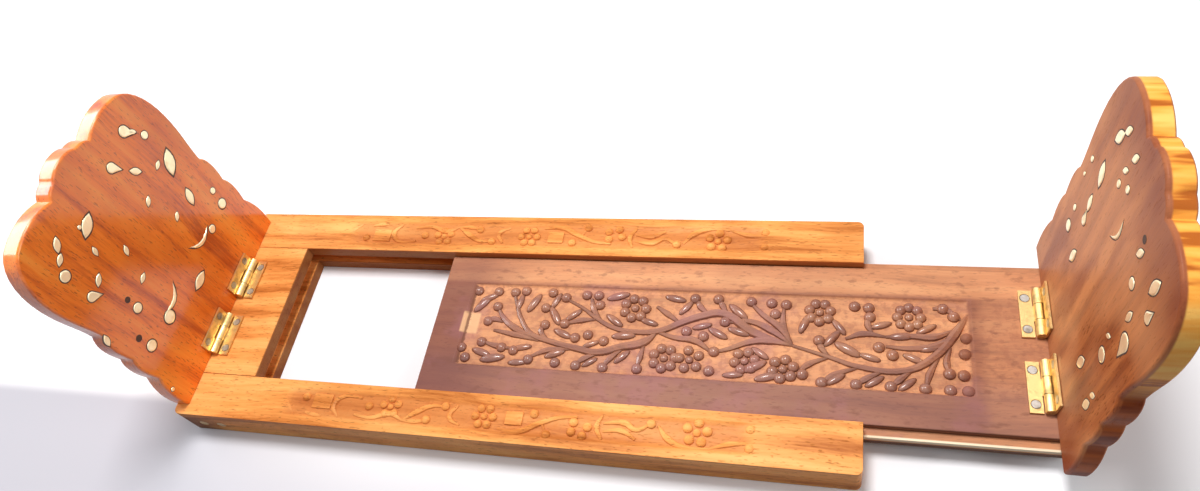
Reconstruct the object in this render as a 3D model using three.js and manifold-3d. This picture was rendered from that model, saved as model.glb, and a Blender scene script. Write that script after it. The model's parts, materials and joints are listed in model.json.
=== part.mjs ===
// Sliding, folding book rack: two grooved rails joined by a cross rail, a carved board
// that slides between them, and two shaped end panels on brass butt hinges.
// Millimetres, +Z up. X runs along the rails, Y across them, Z is up from the table.
import * as THREE from 'three';
import { mergeVertices } from 'three/addons/utils/BufferGeometryUtils.js';
import Module from 'manifold-3d';

const wasm = await Module();
wasm.setup();

// Driving dimensions
const GAP = 0.3; // between two faces that touch

const FRAME_WIDTH = 130;
const RAIL = { length: 352, width: 24, height: 20.5, endRadius: 3 };
const CROSS_REACH = 40.5; // how far the cross rail reaches in from the left end
const GROOVE = { depth: 5, floor: 6.2, height: 7 };
const TENON = { inset: 2, endGap: 0.5 };
const DOWEL = { radius: 2.5, height: 8, bite: 14, places: [11, 22] };

const BOARD = { length: 305, drawnOut: 86, sideGap: 0.6, tongueEndGap: 1, shoulder: 3.1 };

// The panels lean outwards by their own small angle, as each was hung by hand
const PANEL = { thickness: 9, edge: 1.2 };
const LEFT_PANEL = { halfWidth: 59, height: 133, lean: THREE.MathUtils.degToRad(1) };
const RIGHT_PANEL = { halfWidth: 55, height: 133, lean: THREE.MathUtils.degToRad(3) };

const HINGE = { width: 24, leaf: 8, sheet: 1, knuckleRadius: 2.2, middleKnuckle: 8, pinRadius: 0.9 };
const HINGE_SPACING = 36; // between the middles of an end's two hinges
const HINGE_SETBACK = { left: 10.3, right: 10.3 }; // from the end of the wood to the hinge pin
const SCREW = { headRadius: 1.9, headHeight: 0.9, shankRadius: 1, length: 7.3, reach: 5.3, offset: 8 };
const INLAY = { sheet: 0.8, dot: 2.7, petalLength: 9, petalWidth: 4.4, crescentHalf: 8.5, crescentRise: 3 };

// Worked out from them
const CENTRE_Y = FRAME_WIDTH / 2;
const INNER_WIDTH = FRAME_WIDTH - 2 * RAIL.width;
const TONGUE = {
  bottom: GROOVE.floor + GAP,
  top: GROOVE.floor + GROOVE.height - GAP,
  reach: GROOVE.depth + BOARD.sideGap - BOARD.tongueEndGap,
};
const BOARD_END = RAIL.length + BOARD.drawnOut;
const BOARD_START = BOARD_END - BOARD.length;
const BOARD_TOP = TONGUE.top + BOARD.shoulder;
const BOARD_WIDTH = INNER_WIDTH - 2 * BOARD.sideGap;
const AXIS_HEIGHT = HINGE.knuckleRadius + GAP; // hinge pin above the wood its leaf lies on
const PANEL_FOOT = GAP - AXIS_HEIGHT; // the panel's foot, measured from the hinge pin
const CLEAR = 1; // how far a cutter runs past the face it opens

// Solids: closed geometry to a manifold and back
function solid(geometry) {
  const bare = geometry.clone();
  bare.deleteAttribute('normal');
  bare.deleteAttribute('uv');
  const merged = mergeVertices(bare, 1e-4);
  return new wasm.Manifold(new wasm.Mesh({
    numProp: 3,
    vertProperties: new Float32Array(merged.attributes.position.array),
    triVerts: new Uint32Array(merged.index.array),
  }));
}

function toGeometry(manifold) {
  const mesh = manifold.getMesh();
  const geometry = new THREE.BufferGeometry();
  geometry.setAttribute('position', new THREE.BufferAttribute(mesh.vertProperties, 3));
  geometry.setIndex(new THREE.BufferAttribute(mesh.triVerts, 1));
  geometry.computeVertexNormals();
  return geometry;
}

function cutAway(body, cutters) {
  return cutters.reduce((rest, cutter) => rest.subtract(cutter), body);
}

function box([x0, y0, z0], [x1, y1, z1]) {
  const geometry = new THREE.BoxGeometry(x1 - x0, y1 - y0, z1 - z0);
  geometry.translate((x0 + x1) / 2, (y0 + y1) / 2, (z0 + z1) / 2);
  return solid(geometry);
}

function rodAlongY(radius, y0, y1, x, z, sides = 24) {
  const geometry = new THREE.CylinderGeometry(radius, radius, y1 - y0, sides);
  geometry.translate(x, (y0 + y1) / 2, z);
  return geometry;
}

// A flat outline in Y and Z, given thickness along X from x0 to x1
function plate(shape, x0, x1, bevel = 0) {
  const geometry = new THREE.ExtrudeGeometry(shape, {
    depth: x1 - x0 - 2 * bevel,
    bevelEnabled: bevel > 0,
    bevelThickness: bevel,
    bevelSize: bevel,
    bevelOffset: -bevel,
    bevelSegments: 2,
    curveSegments: 6,
  });
  const up = new THREE.Vector3(0, 0, 1);
  const across = new THREE.Vector3(0, 1, 0);
  const outward = new THREE.Vector3(1, 0, 0);
  geometry.translate(0, 0, x0 + bevel);
  geometry.applyMatrix4(new THREE.Matrix4().makeBasis(across, up, outward));
  return solid(geometry);
}

// Materials
const railWood = new THREE.MeshStandardMaterial({ color: 0xc98a52, roughness: 0.5 });
const boardWood = new THREE.MeshStandardMaterial({ color: 0x8f5a42, roughness: 0.6 });
const panelWood = new THREE.MeshStandardMaterial({ color: 0x9c4a22, roughness: 0.35 });
const dowelWood = new THREE.MeshStandardMaterial({ color: 0xd9b27a, roughness: 0.6 });
const brass = new THREE.MeshStandardMaterial({ color: 0xc9a24a, roughness: 0.35, metalness: 1 });
const steel = new THREE.MeshStandardMaterial({ color: 0x8c8a85, roughness: 0.4, metalness: 1 });

function piece(name, body, material) {
  const mesh = new THREE.Mesh(body.isBufferGeometry ? body : toGeometry(body), material);
  mesh.name = name;
  return mesh;
}

// Frame: each rail is full length, grooved on its inner face, with its outer corners rounded
function railPlan() {
  const { length, width, endRadius: r } = RAIL;
  const plan = new THREE.Shape();
  plan.moveTo(0, width);
  plan.lineTo(0, r);
  plan.absarc(r, r, r, Math.PI, 1.5 * Math.PI, false);
  plan.lineTo(length - r, 0);
  plan.absarc(length - r, r, r, 1.5 * Math.PI, 2 * Math.PI, false);
  plan.lineTo(length, width);
  plan.closePath();
  return plan;
}

function dowelHoles(innerEnd) {
  return DOWEL.places.map((x) => solid(rodAlongY(DOWEL.radius + GAP, -CLEAR, innerEnd, x, DOWEL.height)));
}

function frontRail() {
  const block = solid(new THREE.ExtrudeGeometry(railPlan(), { depth: RAIL.height, bevelEnabled: false }));
  const groove = box(
    [-CLEAR, RAIL.width - GROOVE.depth, GROOVE.floor],
    [RAIL.length + CLEAR, RAIL.width + CLEAR, GROOVE.floor + GROOVE.height],
  );
  return cutAway(block, [groove, ...dowelHoles(RAIL.width + CLEAR)]);
}

// Moves a body to the mirrored place on the rear side of the frame
function toRear(body) {
  return body.mirror([0, 1, 0]).translate([0, FRAME_WIDTH, 0]);
}

// The cross rail butts between the rails on stub tenons that fill their grooves
function crossRail() {
  const front = RAIL.width + GAP;
  const rear = FRAME_WIDTH - front;
  const tenonReach = GROOVE.depth - TENON.endGap + GAP;
  const grooveBack = CROSS_REACH - GROOVE.depth;
  const body = box([0, front, 0], [CROSS_REACH, rear, RAIL.height]);
  const tenons = box(
    [TENON.inset, front - tenonReach, TONGUE.bottom],
    [grooveBack - TENON.inset, rear + tenonReach, TONGUE.top],
  );
  const groove = box(
    [grooveBack, front - CLEAR, GROOVE.floor],
    [CROSS_REACH + CLEAR, rear + CLEAR, GROOVE.floor + GROOVE.height],
  );
  const frontHoles = dowelHoles(RAIL.width + DOWEL.bite + GAP);
  const cuts = [groove, ...frontHoles, ...frontHoles.map(toRear), ...pilotHoles(ENDS.left)];
  return cutAway(body.add(tenons), cuts);
}

function dowels(side) {
  return DOWEL.places.map((x, index) => {
    const rod = solid(rodAlongY(DOWEL.radius, 0, RAIL.width + DOWEL.bite, x, DOWEL.height));
    return piece(`${side}_dowel_${index + 1}`, side === 'rear' ? toRear(rod) : rod, dowelWood);
  });
}

// The sliding board: a plank rabbeted along both long edges to leave a tongue
function slideBoard() {
  const front = CENTRE_Y - BOARD_WIDTH / 2;
  const rear = CENTRE_Y + BOARD_WIDTH / 2;
  const plank = box([BOARD_START, front, TONGUE.bottom], [BOARD_END, rear, BOARD_TOP]);
  const tongues = box(
    [BOARD_START, front - TONGUE.reach, TONGUE.bottom],
    [BOARD_END, rear + TONGUE.reach, TONGUE.top],
  );
  return cutAway(plank.add(tongues), pilotHoles(ENDS.right));
}

// Both ends share one layout, drawn as the left end with its hinge pins at the origin of the
// end's group. The right end is the same group turned half round.
const ENDS = {
  left: { x: HINGE_SETBACK.left, woodTop: RAIL.height, turn: 0, panel: LEFT_PANEL },
  right: { x: BOARD_END - HINGE_SETBACK.right, woodTop: BOARD_TOP, turn: Math.PI, panel: RIGHT_PANEL },
};
const HINGE_PLACES = { front: -HINGE_SPACING / 2, rear: HINGE_SPACING / 2 };

// Pilot holes for the screws of the leaves that lie on the frame or the board
function pilotHoles(end) {
  const depth = SCREW.length;
  const direction = Math.cos(end.turn);
  const holes = [];
  for (const middle of Object.values(HINGE_PLACES)) {
    for (const side of [-1, 1]) {
      const hole = new THREE.CylinderGeometry(SCREW.shankRadius + GAP, SCREW.shankRadius + GAP, 2 * depth, 16);
      hole.rotateX(Math.PI / 2);
      hole.translate(end.x + direction * SCREW.reach, CENTRE_Y + middle + side * SCREW.offset, end.woodTop);
      holes.push(solid(hole));
    }
  }
  return holes;
}

// A hinge leaf lies along +X from the pin, its underside facing -Z
function hingeLeaf(ownsMiddle) {
  const half = HINGE.width / 2;
  const mid = HINGE.middleKnuckle / 2;
  const own = ownsMiddle ? [[-mid, mid]] : [[-half, -mid], [mid, half]];
  const others = ownsMiddle ? [[-half, -mid], [mid, half]] : [[-mid, mid]];
  const under = -HINGE.knuckleRadius;
  const clear = HINGE.knuckleRadius + GAP;
  let leaf = box([0, -half, under], [HINGE.leaf, half, under + HINGE.sheet]);
  for (const [y0, y1] of others) {
    leaf = leaf.subtract(box([-clear, y0 - GAP / 2, -clear], [clear, y1 + GAP / 2, clear]));
  }
  for (const [y0, y1] of own) {
    const start = y0 === -half ? y0 : y0 + GAP / 2;
    const end = y1 === half ? y1 : y1 - GAP / 2;
    leaf = leaf.add(solid(rodAlongY(HINGE.knuckleRadius, start, end, 0, 0)));
  }
  leaf = leaf.subtract(solid(rodAlongY(HINGE.pinRadius + GAP, -half - CLEAR, half + CLEAR, 0, 0)));
  for (const side of [-1, 1]) {
    const sink = new THREE.CylinderGeometry(
      SCREW.headRadius + GAP, SCREW.shankRadius + GAP, HINGE.sheet, 24);
    sink.rotateX(Math.PI / 2);
    sink.translate(SCREW.reach, side * SCREW.offset, under + HINGE.sheet / 2);
    leaf = leaf.subtract(solid(sink));
  }
  return leaf;
}

// A countersunk wood screw, head up at z = 0
function screwGeometry() {
  const { headRadius, headHeight, shankRadius, length } = SCREW;
  const profile = [
    [0, -length], [shankRadius, -length + 2], [shankRadius, -headHeight],
    [headRadius, 0], [0, 0],
  ].map(([radius, height]) => new THREE.Vector2(radius, height));
  const geometry = new THREE.LatheGeometry(profile, 16);
  geometry.rotateX(Math.PI / 2);
  return geometry;
}

// The leaf's own pieces in a group: leaf and two screws
function leafGroup(prefix, ownsMiddle) {
  const group = new THREE.Group();
  group.add(piece(`${prefix}_leaf`, hingeLeaf(ownsMiddle), brass));
  [-1, 1].forEach((side, index) => {
    const screw = piece(`${prefix}_screw_${index + 1}`, screwGeometry(), steel);
    screw.position.set(SCREW.reach, side * SCREW.offset, HINGE.sheet - HINGE.knuckleRadius);
    group.add(screw);
  });
  return group;
}

// Half of the panel's outline, from the foot up: ear, two steps, big round lobe, scalloped crown.
// Fractions of the half width and of the height.
function panelShape({ halfWidth: w, height: h }) {
  const foot = -0.02; // the blank runs on below the foot, which is cut level afterwards
  const half = [
    { to: [1, foot] },
    { to: [0.96, 0.198], by: [1.06, 0.1] },
    { to: [0.95, 0.35], by: [1.015, 0.3] },
    { to: [0.92, 0.505], by: [1.005, 0.46] },
    { to: [0.975, 0.735], by: [0.93, 0.585], and: [0.975, 0.64] },
    { to: [0.7, 0.96], by: [0.975, 0.85], and: [0.88, 0.945] },
    { to: [0.3, 0.948], by: [0.49, 0.985] },
    { to: [0.17, 0.975], by: [0.26, 0.972] },
    { to: [0, 1], by: [0.12, 0.998] },
  ];
  const shape = new THREE.Shape();
  shape.moveTo(0, foot * h);
  for (const { to, by, and } of half) {
    if (and) shape.bezierCurveTo(by[0] * w, by[1] * h, and[0] * w, and[1] * h, to[0] * w, to[1] * h);
    else if (by) shape.quadraticCurveTo(by[0] * w, by[1] * h, to[0] * w, to[1] * h);
    else shape.lineTo(to[0] * w, to[1] * h);
  }
  for (let i = half.length - 1; i > 0; i -= 1) {
    const { by, and } = half[i];
    const [x, y] = half[i - 1].to;
    if (and) shape.bezierCurveTo(-and[0] * w, and[1] * h, -by[0] * w, by[1] * h, -x * w, y * h);
    else shape.quadraticCurveTo(-by[0] * w, by[1] * h, -x * w, y * h);
  }
  shape.closePath();
  return shape;
}

// Brass inlay outlines; grow widens them for the pocket they sit in
function dotShape(size, grow) {
  return new THREE.Shape().absarc(0, 0, INLAY.dot * size + grow, 0, 2 * Math.PI);
}

function petalShape(size, grow) {
  const half = INLAY.petalLength * size / 2 + 1.6 * grow;
  const side = INLAY.petalWidth * size + 2 * grow;
  const shape = new THREE.Shape();
  shape.moveTo(-half, 0);
  shape.quadraticCurveTo(0, side, half, 0);
  shape.quadraticCurveTo(0, -side, -half, 0);
  return shape;
}

// A pear is a dot drawn out to a short tip
function pearShape(size, grow) {
  const radius = INLAY.dot * size + grow;
  const tip = 2.3 * INLAY.dot * size + 1.6 * grow;
  const shape = new THREE.Shape();
  shape.absarc(0, 0, radius, 0.3 * Math.PI, 1.7 * Math.PI, false);
  shape.quadraticCurveTo(1.2 * radius, -0.5 * radius, tip, 0);
  shape.quadraticCurveTo(1.2 * radius, 0.5 * radius, radius * Math.cos(0.3 * Math.PI), radius * Math.sin(0.3 * Math.PI));
  return shape;
}

// A crescent rises at both of its tips
function crescentShape(size, grow) {
  const half = INLAY.crescentHalf * size + 2 * grow;
  const rise = INLAY.crescentRise * size;
  const shape = new THREE.Shape();
  shape.moveTo(-half, rise + grow);
  shape.quadraticCurveTo(0, -2.6 * rise - 2 * grow, half, rise + grow);
  shape.quadraticCurveTo(0, -0.9 * rise + 2 * grow, -half, rise + grow);
  return shape;
}

const OUTLINES = { dot: dotShape, petal: petalShape, pear: pearShape, crescent: crescentShape };

// Where the larger inlays sit, as [kind, across, up, turn in degrees, size]: across is a fraction
// of the half width, front to rear on the left end, and up a fraction of the height
const LEFT_INLAYS = [
  ['dot', -0.7, 0.765, 0, 1.05],
  ['petal', -0.27, 0.79, 25, 1.35],
  ['pear', -0.71, 0.635, -48, 0.95],
  ['dot', -0.565, 0.44, 0, 1],
  ['dot', -0.76, 0.302, 0, 1.15],
  ['crescent', -0.32, 0.31, 14, 1],
  ['crescent', 0.3, 0.312, -14, 1],
  ['dot', 0.742, 0.3, 0, 1.1],
  ['petal', 0.555, 0.463, 67, 1.15],
  ['petal', 0.665, 0.621, 53, 1.6],
  ['pear', 0.245, 0.822, -59, 1],
  ['pear', 0.568, 0.854, -57, 1.1],
];
const RIGHT_INLAYS = [
  ['petal', -0.584, 0.806, 65, 1.1],
  ['petal', -0.57, 0.65, -64, 1.25],
  ['pear', -0.49, 0.47, 111, 0.8],
  ['dot', -0.66, 0.341, 0, 1],
  ['petal', -0.388, 0.34, 80, 1.05],
  ['petal', 0.411, 0.276, 75, 1.1],
  ['dot', 0.55, 0.443, 0, 1.15],
  ['pear', 0.657, 0.605, -80, 1.3],
  ['pear', 0.686, 0.759, 80, 0.85],
  ['petal', 0.58, 0.828, 80, 1.1],
];

// An inlay's place in its panel: outline turned and moved on the inner face
function inlayPlate([kind, across, up, turn, size], panel, grow, depth) {
  const shape = OUTLINES[kind](size, grow);
  const face = -AXIS_HEIGHT;
  const flat = plate(shape, face - depth, face + (grow > 0 ? CLEAR : 0));
  return flat.rotate([turn, 0, 0]).translate([0, across * panel.halfWidth, up * panel.height + PANEL_FOOT]);
}

// A panel stands on its foot, which is cut level although the panel leans
function panelSolid(end, inlays) {
  const face = -AXIS_HEIGHT;
  const blank = plate(panelShape(end.panel), face - PANEL.thickness, face, PANEL.edge);
  const reach = 2 * end.panel.halfWidth;
  const below = new THREE.BoxGeometry(reach, 2 * reach, reach);
  below.translate(0, 0, PANEL_FOOT - reach / 2);
  below.rotateY(end.panel.lean);
  const pilots = [];
  for (const middle of Object.values(HINGE_PLACES)) {
    for (const side of [-1, 1]) {
      const hole = new THREE.CylinderGeometry(
        SCREW.shankRadius + GAP, SCREW.shankRadius + GAP, 2 * SCREW.length, 16);
      hole.rotateZ(Math.PI / 2);
      hole.translate(face, middle + side * SCREW.offset, SCREW.reach);
      pilots.push(solid(hole));
    }
  }
  const pockets = inlays.map((inlay) => inlayPlate(inlay, end.panel, GAP, INLAY.sheet + GAP));
  const raised = blank.translate([0, 0, PANEL_FOOT]);
  return cutAway(raised, [solid(below), ...pilots, ...pockets]);
}

// One whole end: two hinges and the panel that they carry
function endGroup(name, end, inlays) {
  const group = new THREE.Group();
  group.position.set(end.x, CENTRE_Y, end.woodTop + AXIS_HEIGHT);
  group.rotation.z = end.turn;
  const leaning = new THREE.Group();
  leaning.rotation.y = -end.panel.lean;
  group.add(leaning);
  leaning.add(piece(`${name}_panel`, panelSolid(end, inlays), panelWood));
  inlays.forEach((inlay, index) => {
    const flat = inlayPlate(inlay, end.panel, 0, INLAY.sheet);
    leaning.add(piece(`${name}_inlay_${inlay[0]}_${index + 1}`, flat, brass));
  });
  const upOnPanel = new THREE.Matrix4().makeBasis(
    new THREE.Vector3(0, 0, 1), new THREE.Vector3(0, -1, 0), new THREE.Vector3(1, 0, 0));
  for (const [place, middle] of Object.entries(HINGE_PLACES)) {
    const side = end.turn === 0 ? place : { front: 'rear', rear: 'front' }[place];
    const base = leafGroup(`${name}_${side}_hinge_base`, true);
    base.position.y = middle;
    group.add(base);
    const onPanel = leafGroup(`${name}_${side}_hinge_panel`, false);
    onPanel.setRotationFromMatrix(upOnPanel);
    onPanel.position.y = middle;
    leaning.add(onPanel);
    const pin = rodAlongY(HINGE.pinRadius, middle - HINGE.width / 2, middle + HINGE.width / 2, 0, 0);
    group.add(piece(`${name}_${side}_hinge_pin`, pin, brass));
  }
  return group;
}

const rack = new THREE.Group();
rack.add(
  piece('front_rail', frontRail(), railWood),
  piece('rear_rail', toRear(frontRail()), railWood),
  piece('cross_rail', crossRail(), railWood),
  ...dowels('front'),
  ...dowels('rear'),
  piece('slide_board', slideBoard(), boardWood),
  endGroup('left', ENDS.left, LEFT_INLAYS),
  endGroup('right', ENDS.right, RIGHT_INLAYS),
);

// The origin is under the middle of the whole rack, on the table
rack.updateMatrixWorld(true);
const bounds = new THREE.Box3().setFromObject(rack, true);
const middle = bounds.getCenter(new THREE.Vector3());
rack.position.set(-middle.x, -middle.y, -bounds.min.z);

const group = new THREE.Group();
group.add(rack);
export default group;
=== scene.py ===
# A folding book rack of carved hardwood: two grooved rails, a board that slides between them,
# and a shaped end panel at each end, inlaid with brass and hung on small butt hinges.
import json
import math
import random

import bpy
from mathutils import Matrix, Vector


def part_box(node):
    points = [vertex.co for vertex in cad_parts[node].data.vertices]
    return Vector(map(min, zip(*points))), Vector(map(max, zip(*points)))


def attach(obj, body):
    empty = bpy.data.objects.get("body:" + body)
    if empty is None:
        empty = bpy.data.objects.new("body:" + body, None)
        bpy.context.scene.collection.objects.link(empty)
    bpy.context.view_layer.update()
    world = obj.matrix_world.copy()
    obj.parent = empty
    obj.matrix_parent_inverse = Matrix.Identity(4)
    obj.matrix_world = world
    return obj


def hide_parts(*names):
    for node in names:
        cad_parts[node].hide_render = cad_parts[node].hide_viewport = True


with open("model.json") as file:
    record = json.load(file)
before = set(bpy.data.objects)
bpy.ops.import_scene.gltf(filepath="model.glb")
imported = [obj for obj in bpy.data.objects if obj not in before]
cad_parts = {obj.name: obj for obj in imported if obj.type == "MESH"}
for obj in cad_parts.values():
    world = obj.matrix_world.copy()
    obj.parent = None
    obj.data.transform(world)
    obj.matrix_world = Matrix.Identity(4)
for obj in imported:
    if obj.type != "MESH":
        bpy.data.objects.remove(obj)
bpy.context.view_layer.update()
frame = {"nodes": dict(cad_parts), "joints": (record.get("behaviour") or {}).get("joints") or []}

MM = 0.001

# ---------------------------------------------------------------------------------------------
# Camera. It stands over the front of the sliding end, looks down on the rack and is held a
# little askew, so that the rails run across the picture with their far ends rising.
rail_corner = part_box("front_rail")[0]
CAMERA_PLACE = Vector((340.06, -123.33, 386.16))  # from the front rail's outer corner, mm
CAMERA_BEARING = math.radians(-27.47)  # from straight back, towards +X
CAMERA_DIP = math.radians(54.0)
CAMERA_ROLL = math.radians(-21.53)
CAMERA_LENS = 25.42
CAMERA_SENSOR = 36

bpy.ops.object.camera_add()
camera = bpy.context.object
camera.name = "camera"
camera.data.sensor_width = CAMERA_SENSOR
camera.data.lens = CAMERA_LENS
camera.matrix_world = (
    Matrix.Translation(rail_corner + CAMERA_PLACE * MM)
    @ Matrix.Rotation(-CAMERA_BEARING, 4, "Z")
    @ Matrix.Rotation(math.pi / 2 - CAMERA_DIP, 4, "X")
    @ Matrix.Rotation(CAMERA_ROLL, 4, "Z")
)
bpy.context.scene.camera = camera
bpy.context.scene.view_settings.view_transform = "Standard"


# ---------------------------------------------------------------------------------------------
# Table and light. The rack lies on a plain pale table top that runs to white behind it. One
# lamp hangs overhead, a long one stands at the left, a weaker one at the right, in a white room.
class Field:
    """A number, colour or vector that varies over a surface. Arithmetic adds Math nodes."""

    def __init__(self, tree, socket=None):
        self.tree = tree
        self.socket = socket

    def node(self, kind, settings=None, inputs=None, output=0):
        """A new node's output. Settings are its properties, and inputs its numbers or Fields."""
        made = self.tree.nodes.new(kind)
        for name, value in (settings or {}).items():
            if name == "stops":
                ramp = made.color_ramp.elements
                while len(ramp) < len(value):
                    ramp.new(0.5)
                for element, (position, colour) in zip(ramp, value):
                    element.position = position
                    element.color = (*colour, 1)
            else:
                setattr(made, name, value)
        for name, value in (inputs or {}).items():
            if isinstance(value, Field):
                self.tree.links.new(value.socket, made.inputs[name])
            else:
                made.inputs[name].default_value = value
        return Field(self.tree, made.outputs[output])

    def math(self, operation, first, second):
        return self.node("ShaderNodeMath", {"operation": operation}, {0: first, 1: second})

    def __add__(self, other):
        return self.math("ADD", self, other)

    __radd__ = __add__

    def __sub__(self, other):
        return self.math("SUBTRACT", self, other)

    def __rsub__(self, other):
        return self.math("SUBTRACT", other, self)

    def __mul__(self, other):
        return self.math("MULTIPLY", self, other)

    __rmul__ = __mul__

    def __abs__(self):
        return self.math("ABSOLUTE", self, 0)

    def between(self, low, high):
        """0 where this is under low, 1 over high, smooth between."""
        return self.node("ShaderNodeMapRange", {"interpolation_type": "SMOOTHSTEP"},
                         {"Value": self, "From Min": low, "From Max": high})

    def within(self, rise, fall):
        """1 from the end of rise to the start of fall, both pairs of limits, and 0 outside them."""
        return self.between(*rise) * (1 - self.between(*fall))

    def mix(self, other, amount):
        """This colour, turned by amount into the other one, a Field or a plain colour."""
        if not isinstance(other, Field):
            other = (*other, 1)
        return self.node("ShaderNodeMix", {"data_type": "RGBA"}, {0: amount, 6: self, 7: other}, output=2)

    def plain(self, colour):
        """One colour all over, as a Field that others can be mixed into."""
        made = self.node("ShaderNodeRGB")
        made.socket.default_value = (*colour, 1)
        return made

    def part(self, axis):
        return self.node("ShaderNodeSeparateXYZ", None, {0: self}, output="XYZ".index(axis))

    def noise(self, scale, detail=3, roughness=0.55):
        return self.node("ShaderNodeTexNoise", {"noise_dimensions": "3D"},
                         {"Vector": self, "Scale": scale, "Detail": detail, "Roughness": roughness})

    def stretched(self, scale):
        return self.node("ShaderNodeMapping", None, {"Vector": self, "Scale": scale})

    def ramp(self, stops):
        return self.node("ShaderNodeValToRGB", {"stops": stops}, {0: self})


def new_material(name):
    """A Principled material, with the Field that is its Object coordinates."""
    material = bpy.data.materials.new(name)
    material.use_nodes = True
    tree = material.node_tree
    place = Field(tree).node("ShaderNodeTexCoord", output=3)
    return material, tree.nodes["Principled BSDF"], place


def feed(shader, name, value):
    """Sets a socket of a shader, or links a Field into it."""
    if isinstance(value, Field):
        value.tree.links.new(value.socket, shader.inputs[name])
    else:
        shader.inputs[name].default_value = value


def looked_at(tree):
    """1 for what the camera sees straight, in gloss or through glass, and 0 for light on things."""
    straight, glossy, through = (Field(tree).node("ShaderNodeLightPath", output=ray)
                                 for ray in ("Is Camera Ray", "Is Glossy Ray", "Is Transmission Ray"))
    return straight.math("MINIMUM", straight + glossy + through, 1)


def bump(height, strength, distance):
    """A height as a normal, for a shader to be fed."""
    return height.node("ShaderNodeBump", None,
                       {"Height": height, "Strength": strength, "Distance": distance})


TABLE_SIZE = 6
TABLE_DROP = 0.2 * MM
TABLE_WHITE = (0.3, 0.298, 0.305)
TABLE_GREY = (0.17, 0.167, 0.182)
TABLE_GAIN = 3.15  # how much paler the camera sees the table than the light on the rack does
TABLE_FADE = (0.45, 0.9)  # metres from the middle over which it runs to white

bpy.ops.mesh.primitive_plane_add(size=TABLE_SIZE, location=(0, 0, -TABLE_DROP))
table = bpy.context.object
table.name = "table"
table_paint, table_shader, place = new_material("table")
# Daylight falls off along the near side of the table: a little, and more at the left
nearness = (1 - place.part("Y").between(-0.054, -0.044)) * (1 - place.part("X").between(-0.26, -0.08))
near_edge = 1 - place.part("Y").between(-0.11, -0.055)
colour = place.plain(TABLE_WHITE).mix(TABLE_GREY, 0.7 * near_edge).mix(TABLE_GREY, nearness)
seen = looked_at(table_paint.node_tree)
gain = 1 + (TABLE_GAIN - 1) * seen
lit = place.node("ShaderNodeVectorMath", {"operation": "SCALE"}, {0: colour, "Scale": gain})
diffuse = place.node("ShaderNodeBsdfDiffuse", None, {"Color": lit})
flat_white = place.node("ShaderNodeEmission")
reach = place.node("ShaderNodeVectorMath", {"operation": "LENGTH"}, {0: place}, output=1)
far = reach.between(*TABLE_FADE) * seen
faded = diffuse.node("ShaderNodeMixShader", None, {0: far, 1: diffuse, 2: flat_white})
out = table_paint.node_tree.nodes["Material Output"]
table_paint.node_tree.links.new(faded.socket, out.inputs["Surface"])
table_paint.node_tree.nodes.remove(table_shader)
table.data.materials.append(table_paint)

LAMPS = {
    # place, breadth, height and power of each lamp; all point at the middle of the rack
    "lamp_overhead": ((-0.06, 0.25, 1.1), 0.3, 0.3, 11.0),
    "lamp_left": ((-0.95, 0.15, 0.7), 0.9, 0.2, 5.5),
    "lamp_right": ((0.95, -0.1, 0.75), 0.5, 0.5, 3.4),
}
for name, (where, breadth, tall, power) in LAMPS.items():
    bpy.ops.object.light_add(type="AREA", location=where)
    lamp = bpy.context.object
    lamp.name = name
    lamp.data.shape = "RECTANGLE"
    lamp.data.size = breadth
    lamp.data.size_y = tall
    lamp.data.energy = power
    lamp.rotation_euler = (-Vector(where)).to_track_quat("-Z", "Y").to_euler()

ROOM_LIGHT = 0.25
room = bpy.data.worlds.new("room")
bpy.context.scene.world = room
room.use_nodes = True
backdrop = room.node_tree.nodes["Background"]
backdrop.inputs["Color"].default_value = (1, 1, 1, 1)
feed(backdrop, "Strength", ROOM_LIGHT + (1 - ROOM_LIGHT) * looked_at(room.node_tree))


# ---------------------------------------------------------------------------------------------
# Rails and cross rail. Sawn from one light orange tan hardwood, oiled and rubbed, with the
# arrises taken off. The cross rail is tenoned between the rails and pinned with dowels.
def pick(piece):
    """Selects one object alone and makes it the active one."""
    bpy.ops.object.select_all(action="DESELECT")
    piece.select_set(True)
    bpy.context.view_layer.objects.active = piece


def apply_modifiers(piece):
    """Applies all the piece's modifiers in their order."""
    pick(piece)
    for modifier in list(piece.modifiers):
        bpy.ops.object.modifier_apply(modifier=modifier.name)


def softened(node, arris, angle=30):
    """A copy of a fixed piece with its sharp edges taken off."""
    source = frame["nodes"][node]
    piece = bpy.data.objects.new(node + "_wood", source.data.copy())
    bpy.context.scene.collection.objects.link(piece)
    pick(piece)
    bpy.ops.object.mode_set(mode="EDIT")
    bpy.ops.mesh.select_all(action="SELECT")
    bpy.ops.mesh.remove_doubles(threshold=0.001 * MM)
    bpy.ops.mesh.dissolve_limited(angle_limit=math.radians(1))
    bpy.ops.object.mode_set(mode="OBJECT")
    rounding = piece.modifiers.new("arris", "BEVEL")
    rounding.width = arris
    rounding.segments = 2
    rounding.limit_method = "ANGLE"
    rounding.angle_limit = math.radians(angle)
    apply_modifiers(piece)
    piece.data.materials.clear()
    return piece


def finished(piece, node, body, material, smooth=35):
    """Finishes a piece: normals, material, body and slot, and hides the node it stands for."""
    pick(piece)
    bpy.ops.object.transform_apply(location=True, rotation=True, scale=True)
    bpy.ops.object.shade_smooth_by_angle(angle=math.radians(smooth))
    flats = piece.modifiers.new("flats", "WEIGHTED_NORMAL")
    flats.keep_sharp = True
    apply_modifiers(piece)
    piece.data.materials.clear()
    piece.data.materials.append(material)
    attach(piece, body)
    if node:
        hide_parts(node)
    return piece


GRAIN_RUN = 0.07  # how the figure is drawn out along the grain, as a scale of its coordinates
PORE_RUN = 0.18
PORE_SHADE = 0.45


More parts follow.
